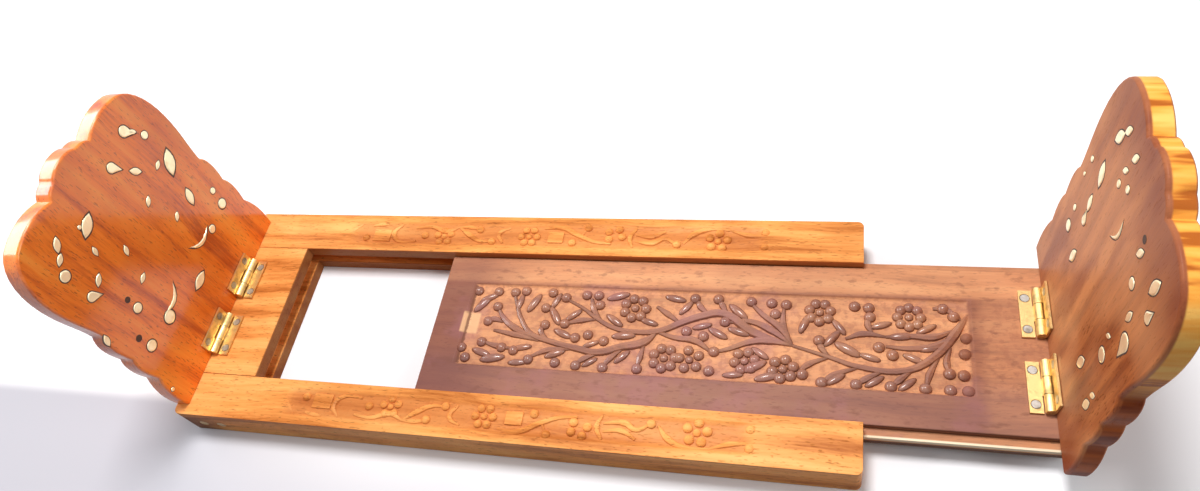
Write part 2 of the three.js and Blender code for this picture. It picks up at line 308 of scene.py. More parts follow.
def wood(name, light, mid, dark, along="X", roughness=0.45, coat=0.0, shine=0.15, figure=1.0, tint=None):
    """Oiled or polished hardwood whose grain runs along one axis."""
    material, shader, place = new_material(name)

    def drawn_out(run):
        return (run, 1, 1) if along == "X" else (1, 1, run)

    drift = place.noise(9, detail=2) * 0.012
    moved = place.node("ShaderNodeVectorMath", {"operation": "ADD"}, {0: place, 1: drift})
    grain = moved.stretched(drawn_out(GRAIN_RUN))
    bands = grain.noise(120 * figure, detail=4, roughness=0.5)
    fibres = grain.noise(900, detail=3, roughness=0.65)
    pores = moved.stretched(drawn_out(PORE_RUN)).noise(1400, detail=1)
    patches = place.noise(22, detail=2)
    tone = bands * 0.75 + fibres * 0.25
    colour = tone.ramp([(0.36, dark), (0.5, mid), (0.64, light)])
    colour = colour.mix(dark, 0.3 * (1 - patches.between(0.35, 0.55)))
    pits = 1 - pores.between(0.3, 0.38)
    colour = colour.mix(tuple(c * PORE_SHADE for c in dark), pits * 0.5)
    if tint:
        colour = tint(colour, place)
    feed(shader, "Base Color", colour)
    feed(shader, "Roughness", roughness + 0.16 * (fibres - 0.5) + 0.12 * pits)
    shader.inputs["Specular IOR Level"].default_value = shine
    shader.inputs["Coat Weight"].default_value = coat
    shader.inputs["Coat Roughness"].default_value = 0.12
    height = fibres * 0.5 - pits * 0.6 + bands * 0.3
    feed(shader, "Normal", bump(height, 0.35, 0.25 * MM))
    return material


RAIL_LIGHT = (0.98, 0.48, 0.15)
RAIL_MID = (0.88, 0.34, 0.085)
RAIL_DARK = (0.48, 0.14, 0.025)


def rail_shade_and_dark_ground(colour, place):
    """Painted shade on the walls of the opening and low down at the outer ends; a band just below the top
    is darker.
    """
    along = place.part("X")
    across = abs(place.part("Y"))
    height = place.part("Z")
    below = 1 - height.between(0.0192, 0.0202)
    # Painted shade on the walls of the opening, below the top
    wall = (1 - across.between(0.0411, 0.0417)) * along.between(-0.1813, -0.1808) * below
    # Painted shade low down at the outer ends, mottled by noise
    outer = (1 - along.between(-0.216, -0.19)) * (1 - height.between(0.014, 0.0195))
    # A band just below the top, over the sunk ground of the carving, is darker
    low_work = height.within((0.0188, 0.0192), (0.0194, 0.0206))
    end_shade_mottle = place.noise(45, detail=2).between(0.2, 0.7)
    shaded = colour.mix((0.27, 0.075, 0.03), wall * 0.7)
    shaded = shaded.mix((0.5, 0.15, 0.045), low_work * 0.55)
    return shaded.mix((0.13, 0.035, 0.008), outer * (0.55 + 0.4 * end_shade_mottle))


rail_wood = wood("rail_wood", RAIL_LIGHT, RAIL_MID, RAIL_DARK, roughness=0.42, shine=0.1, tint=rail_shade_and_dark_ground)

RAIL_ARRIS = 0.7 * MM
BAND = {"start": 60 * MM, "end": 310 * MM, "half": 9.4 * MM, "depth": 0.95 * MM}


CUTTER_OVER = 0.25 * MM  # the cutter's rim stands this far over the wood
END_SLOPES = 3  # the rim's slope is this many times as long at the ends
GOUGE_WAVER = 0.13  # mm up or down


def carved_ground(piece, low, high, depth, cell, slope, seed):
    """Sinks a field into the piece's top; its rim slopes and its floor is uneven, as gouged."""
    size = high - low
    steps = (round(size.x / cell), round(size.y / cell))
    bpy.ops.mesh.primitive_grid_add(x_subdivisions=steps[0], y_subdivisions=steps[1], size=1,
                                    location=((low.x + high.x) / 2, (low.y + high.y) / 2, low.z))
    cutter = bpy.context.object
    cutter.scale = (size.x, size.y, 1)
    bpy.ops.object.transform_apply(location=True, rotation=True, scale=True)
    rng = random.Random(seed)
    for vertex in cutter.data.vertices:
        x, y = vertex.co.x, vertex.co.y
        inside = min((x - low.x) / END_SLOPES, (high.x - x) / END_SLOPES, y - low.y, high.y - y)
        sunk = max(0, min(1, inside / slope))
        sunk = sunk * sunk * (3 - 2 * sunk)
        waver = rng.uniform(-GOUGE_WAVER, GOUGE_WAVER) * MM
        vertex.co.z += CUTTER_OVER - (depth + CUTTER_OVER) * sunk + sunk * waver
    bpy.ops.object.mode_set(mode="EDIT")
    bpy.ops.mesh.select_all(action="SELECT")
    bpy.ops.mesh.extrude_region_move(TRANSFORM_OT_translate={"value": (0, 0, depth + 3 * MM)})
    bpy.ops.mesh.select_all(action="SELECT")
    bpy.ops.mesh.normals_make_consistent(inside=False)
    bpy.ops.object.mode_set(mode="OBJECT")
    cut = piece.modifiers.new("ground", "BOOLEAN")
    cut.operation = "DIFFERENCE"
    cut.solver = "EXACT"
    cut.object = cutter
    apply_modifiers(piece)
    bpy.data.objects.remove(cutter)


def stems(paths, thickness, origin, flat):
    """Carved stems, slim where they spring and at the end. Paths are mm from the origin."""
    bpy.ops.curve.primitive_bezier_curve_add()
    bine = bpy.context.object
    curve = bine.data
    curve.dimensions = "3D"
    curve.splines.clear()
    curve.resolution_u = 5
    curve.bevel_depth = thickness
    curve.bevel_resolution = 2
    curve.use_fill_caps = True
    for path in paths:
        spline = curve.splines.new("BEZIER")
        spline.bezier_points.add(len(path) - 1)
        for index, (point, (x, y)) in enumerate(zip(spline.bezier_points, path)):
            point.co = (x * MM, y * MM, 0)
            point.handle_left_type = point.handle_right_type = "AUTO"
            point.radius = 0.35 if index == 0 else 1.3 - 0.85 * index / (len(path) - 1)
    pick(bine)
    bpy.ops.object.convert(target="MESH")
    bine.scale = (1, 1, flat)
    bine.location = origin
    bpy.ops.object.transform_apply(location=True, rotation=True, scale=True)
    return bine


def beads(places, radius, origin, flat, stretch=1):
    """Carved round buds: one ball copied to each place, given as x and y in mm, size and turn."""
    bpy.ops.mesh.primitive_uv_sphere_add(segments=14, ring_count=9, radius=radius)
    bud = bpy.context.object
    bud.scale = (stretch, 1, flat)
    bpy.ops.object.transform_apply(location=True, rotation=True, scale=True)
    made = []
    for x, y, size, turn in places:
        copy = bpy.data.objects.new("bud", bud.data.copy())
        bpy.context.scene.collection.objects.link(copy)
        copy.data.transform(
            Matrix.Translation(origin + Vector((x * MM, y * MM, 0)))
            @ Matrix.Rotation(turn, 4, "Z") @ Matrix.Diagonal((size, size, size, 1)))
        made.append(copy)
    bpy.data.objects.remove(bud)
    return made


def flower(x, y, reach, petals, size, start):
    """The places of a flower's round petals, and of its middle."""
    ring = []
    for index in range(petals):
        angle = start + 2 * math.pi * index / petals
        ring.append((x + reach * math.cos(angle), y + reach * math.sin(angle), size, angle))
    return ring + [(x, y, size * 0.8, 0)]


def joined(piece, parts):
    """Joins the parts to the piece as one mesh."""
    pick(piece)
    for part in parts:
        part.select_set(True)
    bpy.ops.object.join()
    return piece


# Where the carving of a rail goes, in mm from its outer end and its middle, for the front rail
RAIL_STEMS = [
    [(71, -6), (66, -1), (61, 5)],
    [(97, -6), (93, 0), (97, 5), (108, 5)],
    [(133, -5), (126, -2), (116, -5), (106, -4)],
    [(133, -5), (140, 0), (148, 4), (154, 4)],
    [(133, -5), (140, -5), (146, -4)],
    [(164, -5), (158, -1), (161, 5)],
    [(184, -5), (194, -6), (204, -1), (214, 3), (223, 4)],
    [(206, -1), (209, -6)],
    [(235, 6), (233, 0), (236, -6)],
    [(236, 2), (246, 3), (252, 0), (258, 3.5)],
    [(236, -2), (245, -1), (252, -4.5)],
    [(262, 3), (267, -3), (276, -6.5), (286, -6)],
    [(286, -6), (295, -3), (304, -2)],
    [(88, -6), (84, -6), (78, -5)],
]
RAIL_FLOWERS = [(125, 1.5, 4.2, 5, 0.95, 0.4), (176, 0.5, 4.6, 6, 0.95, 0), (280, 1, 4.8, 5, 1.05, 0.2)]
RAIL_BUDS = [(76, 3.2), (113, 1), (146, -3.6), (154.6, 4.1), (201.3, 3.9), (258.6, 3.5), (209, -6),
             (221, -3.6), (228.6, -0.6), (226.6, -5.2), (221.5, 1.2), (304, 4.4), (304, -4.6)]
RAIL_BOSSES = [(86, 1.6, 11, 8), (191.5, 0.8, 9, 7)]  # x, y, length and breadth
RAIL_BUD_RADIUS = 2.35 * MM
RAIL_STEM_RADIUS = 1.75 * MM
RAIL_FLATNESS = 0.75  # height of the raised work as a share of a round one's
BOSS_HEIGHT = 1.6 * MM
BOSS_ARRIS = 0.5 * MM


def carve_rail(name, side):
    """One rail with the carved band along its top; side is +1 on the front rail."""
    piece = softened(name, RAIL_ARRIS)
    low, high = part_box(name)
    middle = (low.y + high.y) / 2
    top = high.z
    carved_ground(piece, Vector((low.x + BAND["start"], middle - BAND["half"], top)),
                  Vector((low.x + BAND["end"], middle + BAND["half"], top)),
                  BAND["depth"], cell=1.1 * MM, slope=4.5 * MM, seed=7)
    ground = Vector((low.x, middle, top - BAND["depth"]))

    def sided(points):
        return [(x, y * side) for x, y in points]

    buds = [(x, y, 1, 0) for x, y in sided(RAIL_BUDS)]
    for x, y, reach, petals, size, start in RAIL_FLOWERS:
        buds += flower(x, y * side, reach, petals, size, start)
    parts = beads(buds, RAIL_BUD_RADIUS, ground, RAIL_FLATNESS)
    parts.append(stems([sided(path) for path in RAIL_STEMS], RAIL_STEM_RADIUS, ground, RAIL_FLATNESS))
    for x, y, length, breadth in RAIL_BOSSES:
        bpy.ops.mesh.primitive_cube_add(size=1, location=ground + Vector((x * MM, y * side * MM, 0)))
        boss = bpy.context.object
        boss.scale = (length * MM, breadth * MM, BOSS_HEIGHT)
        bpy.ops.object.transform_apply(location=True, rotation=True, scale=True)
        rounding = boss.modifiers.new("arris", "BEVEL")
        rounding.width = BOSS_ARRIS
        rounding.segments = 2
        apply_modifiers(boss)
        parts.append(boss)
    joined(piece, parts)
    piece.name = name + "_carved"
    return finished(piece, name, "frame", rail_wood)


carve_rail("front_rail", 1)
carve_rail("rear_rail", -1)

cross = softened("cross_rail", RAIL_ARRIS)
cross.name = "cross_rail_planed"
finished(cross, "cross_rail", "frame", rail_wood)

# ---------------------------------------------------------------------------------------------
# Dowels. Turned pegs of a paler wood, driven through the rails into the cross rail and cut off
# flush, so that only their end grain shows.
PEG_ARRIS = 0.25 * MM
peg_wood = wood("peg_wood", (1.0, 0.84, 0.6), (0.9, 0.68, 0.42), (0.5, 0.28, 0.14), roughness=0.6)
for side in ("front", "rear"):
    for number in (1, 2):
        node = f"{side}_dowel_{number}"
        peg = softened(node, PEG_ARRIS, angle=40)
        peg.name = node + "_peg"
        finished(peg, node, "frame", peg_wood)

# ---------------------------------------------------------------------------------------------
# Sliding board. A plank rabbeted along both edges, its top carved with a vine that carries
# round buds and flowers; the ground is punched pale, the raised work and the front stained dark.
BOARD_ARRIS = 0.6 * MM
VINE_FIELD = {"start": 15 * MM, "end": 268 * MM, "front": -24.5 * MM, "rear": 25.3 * MM, "depth": 1.7 * MM}

# Where the board's carving goes, in mm from its inner end and its middle
VINE = [
    [(266, 19), (259, 7), (250, -5), (238, -12.5), (217, -12), (204, -8), (187, -3)],
    [(187, -3), (181, 6), (172, 13), (166, 19)],
    [(187, -3), (182, 8), (182, 17)],
    [(187, -3), (176, 5), (165.6, 9), (156, 8)],
    [(187, -3), (175.5, -1), (167, -2.2), (157, -6.5), (149, -9)],
    [(259, 7), (252, 1), (239.5, -1.4), (229, -1)],
    [(259, 9), (250, 5), (240, 5), (229, 4)],
    [(229.6, 4), (218.6, 5), (211, 2)],
    [(252, -5), (247.5, -14), (246, -20.5)],
    [(241, -11.5), (234.6, -17.6), (231, -21)],
    [(228.5, -13), (219.8, -18.2), (216, -21)],
    [(217, -12.5), (206, -17), (200.7, -21)],
    [(204, -8), (194, -12.7), (190, -17)],
    [(257, 0), (255, -8), (257, -14)],
    [(223.5, 5), (221, 10), (222, 16)],
    [(204, -8), (200, -3), (199, 0)],
    [(263, 14), (255, 20), (250, 20)],
    [(187, -3), (168, 3), (152.6, 12.6), (142.3, 10.7), (132.4, 6.4), (122.6, 1.5), (111.5, 0),
     (99.2, 1.5), (88, 7), (80.7, 12), (71, 17)],
    [(149, -9), (140, -3), (130, -2), (120, 1)],
    [(121, 0.9), (115.2, -5.3), (104, -8.6), (91.8, -12.4), (80.7, -10.8), (66, -7.7), (55, -4),
     (47.5, 4.6), (43.8, 12), (41.3, 18)],
    [(58.6, -6.5), (46.2, -1.6), (37.6, 4.6), (34, 9.5)],
    [(60, -7.7), (46.2, -5), (34, -3)],
    [(88, 6), (80.7, 5.2), (73, 3)],
    [(115.2, -6.5), (114, -13.9), (113.3, -18.8)],
    [(105.3, -9), (99.2, -15.1), (96, -20)],
    [(93, -12.7), (85.6, -16.3), (82, -19.4)],
    [(78.3, -11.4), (66, -12.7), (57, -17)],
    [(92, 4), (86, 12), (84, 18)],
    [(146, 11.5), (141, 16), (139, 20)],
    [(155, 12), (152, 17), (150, 20.5)],
    [(132, 6), (125, 11), (119, 15)],
    [(66, -8), (60, -2), (61, 1.5)],
    [(47, -13), (38, -12), (30, -10)],
    [(38, 2), (33, 3.5), (28, 3)],
]
BUDS = [
    (166, 20), (183, 19), (176, 19.5), (178, 13.5), (226, -1.6), (245.7, -21), (231, -21), (216, -21),
    (200.7, -21), (192, -17.6), (256, -13), (263.5, -21), (256, -21), (262, -13.5), (232, -5.3),
    (215, 19.5), (221.5, 19), (222, 14), (199, 0.5), (264, 5), (263, -3), (254.5, 20), (259, 16),
    (60, 11.4), (61.5, 1.5), (47, 21), (31.5, 20), (29.6, 2.1), (29, -10.2), (40.7, -12.7),
    (47.5, -14), (18.6, -14), (22, -19.5), (71, -19.4), (62.2, 20.6), (70, 18), (87.5, 20), (81, 20),
    (89, 14.4), (135.5, 1.8), (144.1, -0.5), (138, 20.5), (149.7, 20.6), (113.3, -20), (96, -20.5),
    (82, -20.3), (148.5, -18.8), (72, 2.7), (41, 20), (33, 11), (56.5, -18.5), (20, 20),
    (154, 8), (150, -8.5), (79, -5), (85.5, -3), (94.3, -6),
]
LEAVES = [
    # place, size and turn of the long narrow leaves that fill the ground between the stems
    (205, 2, 1.0, 0.9), (212, -3.5, 1.2, -0.5), (160, 14, 1.1, -0.7), (170, -15, 1.1, 0.5),
    (98, 20, 1.1, 0.3), (128, 20, 1.0, -0.2), (53, 14, 1.1, 1.1), (37, -19, 1.2, 0.2),
    (24, 12, 1.1, 0.9), (104, -2.5, 1.1, 0.1), (72, -3, 1.0, -0.4), (51, -20.5, 0.9, 0.1),
    (192, 9, 1.0, 1.2), (248, -1, 0.9, 0.2), (227, 10, 0.9, 0.3), (176, -20, 1.1, 0.3),
    (208, 8, 0.9, -0.9), (241, -6.5, 0.9, -0.4), (222, -7, 0.9, -0.3), (236, 4.6, 1.0, 0.1),
    (161, 3, 1.0, -0.3), (172, -8, 0.9, -0.6), (151, 1.5, 1.0, -0.5), (143, 5, 0.9, 0.3),
    (116, 6, 0.9, -0.3), (88, -8, 0.8, 0.4), (98, 6, 1.0, -0.6), (76, 8, 0.9, 0.7),
    (66, 7, 1.1, -1.0), (70, -14.5, 1.0, 0.4), (105, -14, 0.9, 0.8), (89, -18, 0.8, 0.6),
    (45, 14, 0.9, 1.4), (27, 16, 1.0, 0.5), (30, -16, 1.0, -0.3),
    (52, -12, 0.9, 0.2), (65, 16, 0.9, 1.2), (160, -20, 0.9, 0.1), (134, 15, 0.9, 0.9),
    (207, -19, 0.9, 0.6), (224, -19, 0.9, 0.6), (238, -19.5, 0.9, 0.7), (247, 9, 0.9, 0.5),
]

FLOWERS = [
    # middle, reach and number of the petals, their size and the first one's turn
    (199, 15.5, 5.0, 7, 0.95, 0.2), (239.5, 14.8, 5.2, 8, 0.9, 0), (183, -15.5, 5.0, 6, 1.0, 0.3),
    (126, -13.5, 5.4, 7, 0.98, 0.1), (138.6, -13.5, 5.0, 5, 0.95, 0.5), (107.8, 13.4, 5.6, 7, 1.0, 0),
    (165, -12.5, 4.8, 6, 0.95, 0.2),
]
BUD_RADIUS = 2.85 * MM
STEM_RADIUS = 2.1 * MM
LEAF_RADIUS = 2.1 * MM
LEAF_STRETCH = 2.8
FLATNESS = 0.85
LEAF_FLATNESS = 0.8

board = softened("slide_board", BOARD_ARRIS)
low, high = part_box("slide_board")
centre = (low.y + high.y) / 2
top = high.z
carved_ground(board, Vector((low.x + VINE_FIELD["start"], centre + VINE_FIELD["front"], top)),
              Vector((low.x + VINE_FIELD["end"], centre + VINE_FIELD["rear"], top)),
              VINE_FIELD["depth"], cell=0.9 * MM, slope=1.6 * MM, seed=11)
ground = Vector((low.x, centre, top - VINE_FIELD["depth"]))
buds = [(x, y, 1, 0) for x, y in BUDS]
for bloom in FLOWERS:
    buds += flower(*bloom)
parts = beads(buds, BUD_RADIUS, ground, FLATNESS)
parts += beads(LEAVES, LEAF_RADIUS, ground, LEAF_FLATNESS, stretch=LEAF_STRETCH)
parts.append(stems(VINE, STEM_RADIUS, ground, FLATNESS))
joined(board, parts)
board.name = "slide_board_carved"

GROUND_HEIGHT = top - VINE_FIELD["depth"]


def board_stain_and_painted_light(colour, place):
    """The ground is pale and punched; the raised work and front border are stained mauve; painted shade
    lies at the foot of the raised work, on the front shoulder and under the tongue, with a painted
    highlight along the tongue.
    """
    along = place.part("X")
    across = place.part("Y")
    height = place.part("Z")
    raised = height.between(GROUND_HEIGHT + 0.25 * MM, GROUND_HEIGHT + 1.1 * MM)
    in_field = across.within((-0.0262, -0.024), (0.024, 0.0262))
    blotch = place.noise(60, detail=3)
    wash = place.noise(25, detail=2)
    rear = across.between(0.0235, 0.0275)
    front = 1 - (across + 0.004 * (blotch - 0.5)).between(-0.024, -0.012)
    right = along.between(0.178, 0.186)
    stained = colour.mix((0.24, 0.105, 0.082), 0.66 + 0.3 * (wash - 0.5))
    bare = colour.mix((0.72, 0.38, 0.22), 0.45 + 0.3 * (blotch - 0.5))
    tooled = place.noise(330, detail=3).between(0.46, 0.62)
    bare = bare.mix((0.38, 0.15, 0.09), tooled * 0.45 * in_field)
    mark = raised * (1 - rear * 0.85) * (1 - right * 0.55)
    made = bare.mix(stained, mark)
    made = made.mix((0.24, 0.13, 0.12), front * raised * 0.4)
    left = 1 - along.between(-0.075, -0.035)
    made = made.mix((0.2, 0.075, 0.065), left * raised * (0.35 + 0.4 * wash))
    purple = place.noise(38, detail=3).between(0.5, 0.68) * (1 - right) * (1 - rear)
    made = made.mix((0.36, 0.15, 0.16), purple * 0.4)
    patch = along.within((-0.0735, -0.0725), (-0.0645, -0.063))
    patch = patch * across.within((-0.006, -0.0045), (0.006, 0.0075))
    made = made.mix((0.86, 0.5, 0.26), patch * 0.75)
    # Painted highlight along the top of the front tongue's edge
    tongue = 1 - across.between(-0.0443, -0.0437)
    polished = tongue * height.between(0.0102, 0.0112)
    made = made.mix((1.0, 0.86, 0.62), polished * 0.9)
    # Painted shade at the foot of the raised work in the field
    foot = height.within((GROUND_HEIGHT + 0.1 * MM, GROUND_HEIGHT + 0.3 * MM),
                         (GROUND_HEIGHT + 0.6 * MM, GROUND_HEIGHT + 1.1 * MM))
    foot = foot * across.within((-0.0232, -0.0226), (0.0232, 0.0238))
    foot = foot * along.within((-0.0712, -0.0706), (0.1735, 0.1741))
    made = made.mix((0.13, 0.045, 0.03), foot * 0.75)
    specks = place.stretched((0.5, 1, 1)).noise(260, detail=3).between(0.56, 0.7)
    made = made.mix((0.2, 0.08, 0.055), specks * raised * 0.45)
    # Painted shade along the lower edge of the front tongue
    under = tongue * (1 - height.between(0.0092, 0.0102))
    made = made.mix((0.07, 0.03, 0.02), under * 0.9)
    # Painted shade in a thin line on the front shoulder
    shoulder = across.within((-0.0408, -0.0405), (-0.0402, -0.0399))
    return made.mix((0.13, 0.05, 0.03), shoulder * 0.75)


BOARD_LIGHT = (0.82, 0.37, 0.15)
BOARD_MID = (0.66, 0.245, 0.09)
BOARD_DARK = (0.3, 0.095, 0.035)
board_wood = wood("board_wood", BOARD_LIGHT, BOARD_MID, BOARD_DARK, roughness=0.46, shine=0.08,
                  tint=board_stain_and_painted_light)

# Only the raised work inside the field is varnished
place = Field(board_wood.node_tree).node("ShaderNodeTexCoord", output=3)
varnished = place.part("Z").between(GROUND_HEIGHT + 0.3 * MM, GROUND_HEIGHT + MM)
varnished = varnished * (1 - abs(place.part("Y")).between(0.0225, 0.0232))
varnished = varnished * place.part("X").within((-0.0705, -0.0695), (0.1725, 0.1735))
board_shader = board_wood.node_tree.nodes["Principled BSDF"]
feed(board_shader, "Coat Weight", varnished)
feed(board_shader, "Coat Roughness", 0.2)
finished(board, "slide_board", "slide_board", board_wood, smooth=40)

# ---------------------------------------------------------------------------------------------
# End panels. Fret-sawn from a richer, redder board with the grain upright, filed round at the
# edges and polished. Each stands on its level foot and leans out by a degree or so.
PANEL_EDGE = 1.1 * MM
HALF_OUTLINE = [
    # fractions of the half width and of the height, from the foot up to the crown: the end of
    # each stretch, then its one or two guide points
    ((0.96, 0.198), (1.06, 0.1), None),
    ((0.95, 0.35), (1.015, 0.3), None),
    ((0.92, 0.505), (1.005, 0.46), None),
    ((0.975, 0.735), (0.93, 0.585), (0.975, 0.64)),
    ((0.7, 0.96), (0.975, 0.85), (0.88, 0.945)),
    ((0.3, 0.948), (0.49, 0.985), None),
    ((0.17, 0.975), (0.26, 0.972), None),
    ((0.0, 1.0), (0.12, 0.998), None),
]
PANELS = {
    # lean in degrees, half width and height in mm, and the turn that faces the panel inwards
    "left": {"lean": 1.0, "half": 59.0, "height": 133.0, "turn": 0.0},
    "right": {"lean": 3.0, "half": 55.0, "height": 133.0, "turn": math.pi},
}
PANEL_THICKNESS = 9.0 * MM
FACE_SETBACK = 2.5 * MM  # the inner face stands this far out from the hinge pin
FOOT_RISE = 0.3 * MM - FACE_SETBACK  # the foot's height from the pin, just below it
CURVE_WELD = 0.002 * MM
joint_of = {joint["name"]: joint for joint in frame["joints"]}


def panel_frame(side):
    """The matrix from a panel's own axes (in across, up) on its inner face to the rack's."""
    pin = Vector(joint_of[f"{side}_panel_fold"]["pos_m"])
    spec = PANELS[side]
    return (Matrix.Translation(pin) @ Matrix.Rotation(spec["turn"], 4, "Z")
            @ Matrix.Rotation(-math.radians(spec["lean"]), 4, "Y")
            @ Matrix.Translation((-FACE_SETBACK, 0, 0)))


def cubic_points(spec):
    """The whole outline as cubic stretches, each [start, guide, guide, end], in metres."""
    wide, tall = spec["half"] * MM, spec["height"] * MM
    right = []
    start = (1.0, -0.02)
    for end, guide, second in HALF_OUTLINE:
        if second is None:
            first = tuple(s + 2 / 3 * (g - s) for s, g in zip(start, guide))
            second = tuple(e + 2 / 3 * (g - e) for e, g in zip(end, guide))
        else:
            first = guide
        right.append([start, first, second, end])
        start = end
    left = [[(-x, y) for x, y in reversed(stretch)] for stretch in reversed(right)]
    return [[(x * wide, y * tall) for x, y in stretch] for stretch in right + left]


def flat_curve(name, stretches):
    """A flat filled outline on the XY plane from cubic stretches."""
    bpy.ops.curve.primitive_bezier_curve_add()
    outline = bpy.context.object
    outline.name = name
    curve = outline.data
    curve.splines.clear()
    curve.dimensions = "2D"
    curve.fill_mode = "BOTH"
    curve.resolution_u = 8
    spline = curve.splines.new("BEZIER")
    ends_meet = stretches[-1][3] == stretches[0][0]
    count = len(stretches) + (0 if ends_meet else 1)
    spline.bezier_points.add(count - 1)
    for point in spline.bezier_points:
        point.handle_left_type = point.handle_right_type = "FREE"
    for index, (start, first, second, end) in enumerate(stretches):
        here = spline.bezier_points[index]
        after = spline.bezier_points[(index + 1) % count]
        here.co = (*start, 0)
        here.handle_right = (*first, 0)
        after.co = (*end, 0)
        after.handle_left = (*second, 0)
    if not ends_meet:
        first_point, last_point = spline.bezier_points[0], spline.bezier_points[-1]
        first_point.handle_left = first_point.co
        last_point.handle_right = last_point.co
    spline.use_cyclic_u = True
    return outline


# Across is the panel's own Y and up its Z, so a flat outline is stood up by this turn
STAND_UP = Matrix(((0, 0, 1, 0), (1, 0, 0, 0), (0, 1, 0, 0), (0, 0, 0, 1)))


def make_panel(side):
    """A panel from its sawn outline, with round edges, and its foot cut off level."""
    panel = flat_curve(f"{side}_panel_shaped", cubic_points(PANELS[side]))
    panel.data.extrude = PANEL_THICKNESS / 2 - PANEL_EDGE
    panel.data.bevel_depth = PANEL_EDGE
    panel.data.bevel_resolution = 3
    panel.data.offset = -PANEL_EDGE
    pick(panel)
    bpy.ops.object.convert(target="MESH")
    raised = Matrix.Translation((-PANEL_THICKNESS / 2, 0, FOOT_RISE))
    panel.data.transform(panel_frame(side) @ raised @ STAND_UP)
    bpy.ops.object.mode_set(mode="EDIT")
    bpy.ops.mesh.select_all(action="SELECT")
    bpy.ops.mesh.remove_doubles(threshold=CURVE_WELD)
    bpy.ops.mesh.bisect(plane_co=(0, 0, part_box(f"{side}_panel")[0].z), plane_no=(0, 0, 1),
                        use_fill=True, clear_inner=True)
    bpy.ops.mesh.select_all(action="SELECT")
    bpy.ops.mesh.normals_make_consistent(inside=False)
    bpy.ops.object.mode_set(mode="OBJECT")
    return panel


def edge_light_and_face_tone(colour, place):
    """The right panel's sawn edge is pale higher up, a painted light, and dark red near the foot, a
    painted shade; its face is lighter in the middle, streaked, and darker at the top and low at the front.
    """
    height = place.part("Z")
    behind = place.part("X") - math.tan(math.radians(PANELS["right"]["lean"])) * height
    edge = behind.within((0.2093, 0.2102), (0.216, 0.2167))
    rings = place.stretched((0.15, 1, 1)).noise(120, detail=3)
    # Painted light on the upper, up-facing part of the sawn edge and painted shade lower down, both over
    # the rings of its grain
    pale = rings.ramp([(0.4, (0.42, 0.11, 0.015)), (0.48, (0.93, 0.38, 0.06)), (0.62, (1.0, 0.56, 0.14))])
    deep = rings.ramp([(0.4, (0.16, 0.025, 0.004)), (0.6, (0.4, 0.09, 0.014))])
    upper = (height + 0.35 * place.part("Y")).between(0.062, 0.085)
    middle = place.noise(16, detail=2).between(0.42, 0.62)
    face_tone = colour.mix((0.8, 0.36, 0.16), middle * 0.5)
    smoke = place.stretched((1, 1, 0.35)).noise(42, detail=3).between(0.5, 0.66)
    face_tone = face_tone.mix((0.24, 0.06, 0.035), smoke * 0.5)
    # Darker towards the top
    face_tone = face_tone.mix((0.26, 0.07, 0.035), height.between(0.112, 0.142) * 0.6)
    # Darker low down at the front of the foot
    toe = (1 - height.between(0.022, 0.05)) * (1 - place.part("Y").between(-0.052, -0.034))
    face_tone = face_tone.mix((0.26, 0.04, 0.008), toe * 0.8)
    return face_tone.mix(deep.mix(pale, upper), edge)


left_wood = wood("left_panel_wood", (1.0, 0.31, 0.035), (0.93, 0.205, 0.012), (0.5, 0.065, 0.004),
                 along="Z", roughness=0.34, coat=0.85, shine=0.3, figure=0.8)
right_wood = wood("right_panel_wood", (0.62, 0.22, 0.07), (0.42, 0.115, 0.032), (0.19, 0.035, 0.01),
                  along="Z", roughness=0.42, shine=0.1, figure=0.8, tint=edge_light_and_face_tone)
finished(make_panel("left"), "left_panel", "left_panel", left_wood, smooth=50)
finished(make_panel("right"), "right_panel", "right_panel", right_wood, smooth=50)

# ---------------------------------------------------------------------------------------------
# Inlays. Sheet brass cut to dots, leaves, pears and crescents, hammered into pockets in the
# panels' inner faces with dark filler round them, then rubbed down to a slightly domed face.
INLAY_RISE = 0.35 * MM
INLAY_DEEP = 0.6 * MM
INLAY_ROUND = 0.25 * MM
FILLER_GROWTH = 1.17
FILLER_RISE = 0.06 * MM
PIT_RISE = 0.08 * MM


def circle_part(radius, start, end):
    """A round stretch about the middle as one cubic."""
    reach = 4 / 3 * math.tan((end - start) / 4) * radius
    (sx, sy), (ex, ey) = ((radius * math.cos(a), radius * math.sin(a)) for a in (start, end))
    return [(sx, sy), (sx - reach * math.sin(start), sy + reach * math.cos(start)),
            (ex + reach * math.sin(end), ey - reach * math.cos(end)), (ex, ey)]


def bowed(start, guide, end):
    """A stretch drawn towards one guide point, as a cubic."""
    return [start, tuple(s + 2 / 3 * (g - s) for s, g in zip(start, guide)),
            tuple(e + 2 / 3 * (g - e) for e, g in zip(end, guide)), end]


def inlay_outline(kind, size):
    """The outline of a dot, petal, pear or crescent in metres, about its own middle."""
    radius = 2.7 * MM * size
    if kind == "dot":
        quarters = [math.pi / 2 * step for step in range(4)]
        parts = [circle_part(radius, a, a + math.pi / 2) for a in quarters]
        parts[-1][3] = parts[0][0]
        for before, after in zip(parts, parts[1:]):
            before[3] = after[0]
        return parts
    if kind == "petal":
        half, side = 4.5 * MM * size, 4.4 * MM * size
        return [bowed((-half, 0), (0, -side), (half, 0)), bowed((half, 0), (0, side), (-half, 0))]
    if kind == "pear":
        opening = 0.3 * math.pi
        tip = (2.3 * radius, 0)
        middle = circle_part(radius, opening, math.pi)
        rest = circle_part(radius, math.pi, 2 * math.pi - opening)
        rest[0] = middle[3]
        shoulder = 1.2 * radius
        return [middle, rest, bowed(rest[3], (shoulder, -0.5 * radius), tip),
                bowed(tip, (shoulder, 0.5 * radius), middle[0])]
    half, rise = 8.5 * MM * size, 3 * MM * size
    return [bowed((-half, rise), (0, -2.6 * rise), (half, rise)),
            bowed((half, rise), (0, -0.9 * rise), (-half, rise))]


